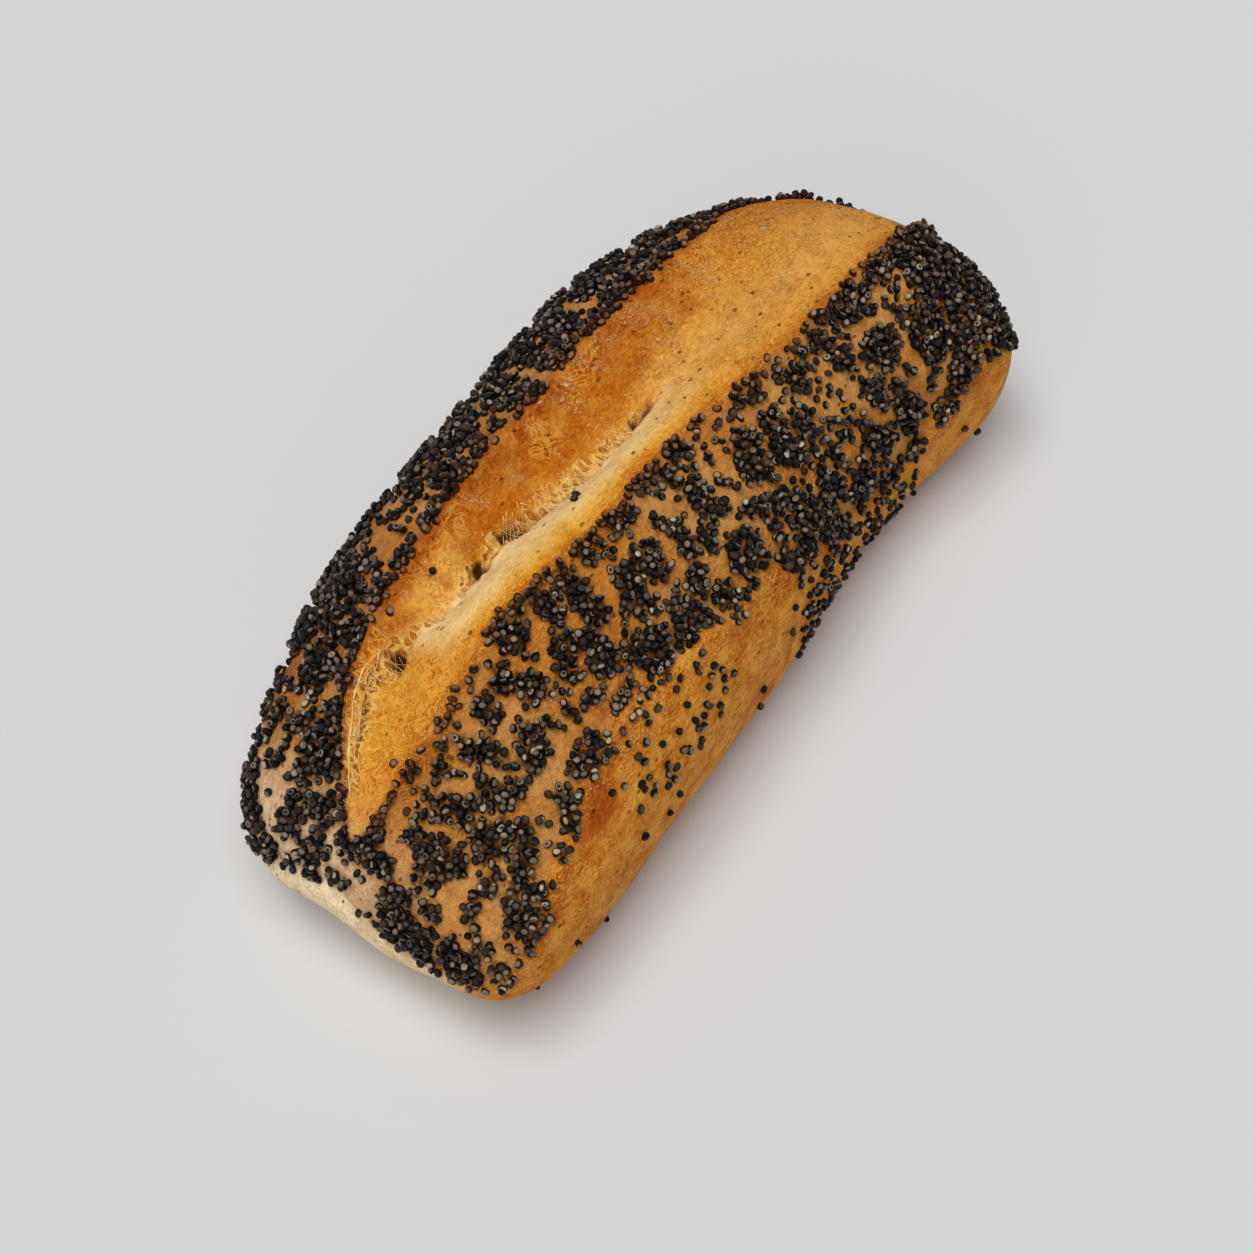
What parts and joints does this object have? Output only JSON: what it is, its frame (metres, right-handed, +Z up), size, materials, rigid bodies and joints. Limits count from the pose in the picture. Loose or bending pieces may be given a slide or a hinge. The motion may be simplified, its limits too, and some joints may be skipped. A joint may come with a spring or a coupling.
{
  "type": "bread roll",
  "caption": "Long, slightly bent bread roll, slashed along its crown, with a torn golden score, a dark seed crust and a flat base to rest on.",
  "frame": {"origin": "on the base, under the middle of the roll's length and width", "axes": "+X along the roll towards its rounder end, +Y across it towards the flank that bulges, +Z up from the base"},
  "size_m": [0.123, 0.056, 0.0416],
  "materials": {
    "crust": "baked tan to orange-brown crust, satin, with fine stretched fibres and pores",
    "torn_crumb": "pale cream torn bread crumb, matt and webby",
    "poppy_seed": "charcoal to blue-black baked poppy seeds, dull with a faint sheen"
  },
  "bodies": {
    "root": {"bread_roll": "crust"}
  },
  "joints": []
}
